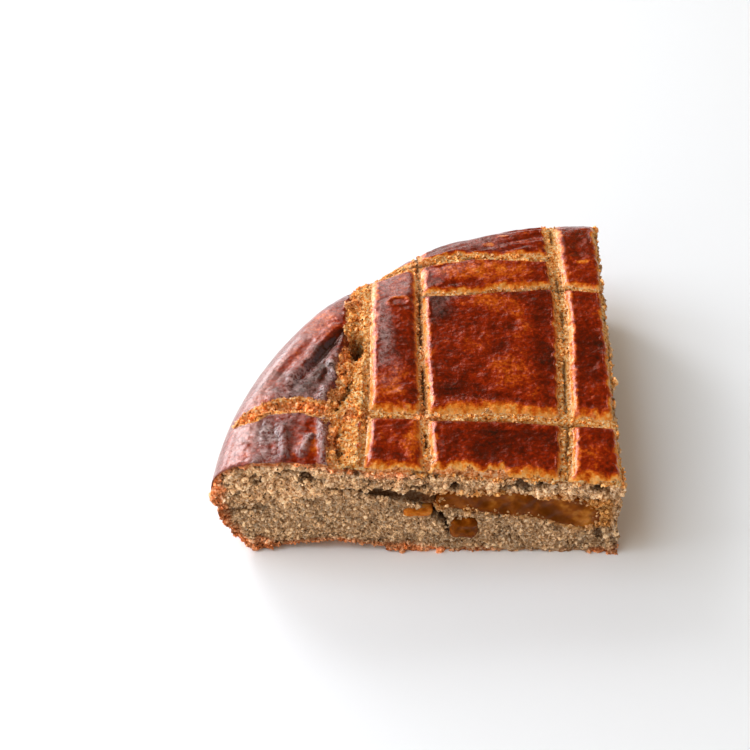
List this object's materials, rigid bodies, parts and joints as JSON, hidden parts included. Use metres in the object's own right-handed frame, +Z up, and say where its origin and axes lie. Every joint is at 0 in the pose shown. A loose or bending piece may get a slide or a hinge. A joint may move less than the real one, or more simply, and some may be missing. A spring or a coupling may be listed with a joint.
{
  "type": "breton butter cake quarter",
  "caption": "Quarter of a round Breton butter cake with a glazed, scored top, one score torn open, and a soft fruit filling between two layers of buckwheat crumb.",
  "frame": {"origin": "on the surface that the cake stands on, under the middle of its bounding box", "axes": "+Z up; the front cut face, the one with the fruit pieces, faces -Y; the other cut face faces +X; the curved rim lies towards -X and +Y"},
  "size_m": [0.1065, 0.1064, 0.0326],
  "materials": {
    "baked_crust": "egg-washed top baked dark and glossy, over dull grey-tan buckwheat crumb",
    "soft_filling": "moist, slightly clear caramel-coloured fruit filling",
    "fruit_pulp": "moist brown pulp of cooked fruit",
    "candied_peel": "moist orange candied fruit"
  },
  "bodies": {
    "root": {"cake": "baked_crust", "filling": "soft_filling", "fruit_lump": "fruit_pulp", "fruit_chip": "candied_peel"}
  },
  "joints": []
}
